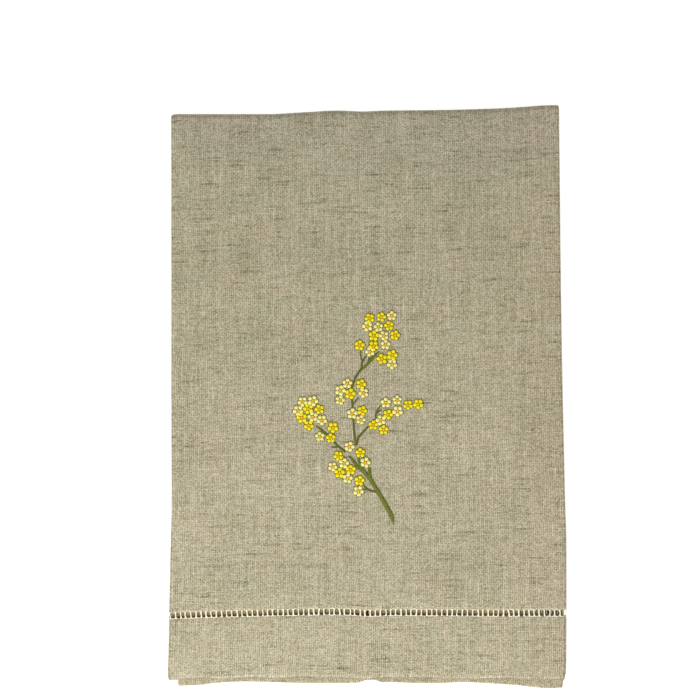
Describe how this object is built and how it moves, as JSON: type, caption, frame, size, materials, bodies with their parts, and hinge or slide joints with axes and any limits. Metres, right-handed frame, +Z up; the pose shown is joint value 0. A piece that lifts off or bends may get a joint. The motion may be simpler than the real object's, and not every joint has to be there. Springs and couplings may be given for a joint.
{
  "type": "folded hand towel",
  "caption": "Natural linen hand towel lying folded flat, face up, with a hemstitched hem and an embroidered sprig of small yellow flowers.",
  "frame": {"origin": "under the middle of the folded towel's box, on the surface that it lies on", "axes": "+Z up out of the towel's face, +Y along its length from the hem towards the top fold, +X to the right seen from above"},
  "size_m": [0.1796, 0.2627, 0.007],
  "materials": {
    "linen": "plain-woven undyed linen with slubs, matt, about 0.5 mm thick",
    "hemstitch_thread": "off-white cotton sewing thread and bundled linen warps, slight sheen",
    "bright_yellow_floss": "bright yellow embroidery floss laid in satin stitch, silky sheen",
    "pale_yellow_floss": "pale yellow embroidery floss laid in satin stitch, silky sheen",
    "orange_floss": "orange embroidery floss in small knots, silky sheen",
    "green_floss": "moss green embroidery floss in stem and satin stitch, silky sheen"
  },
  "bodies": {
    "root": {"towel": "linen"}
  },
  "joints": []
}
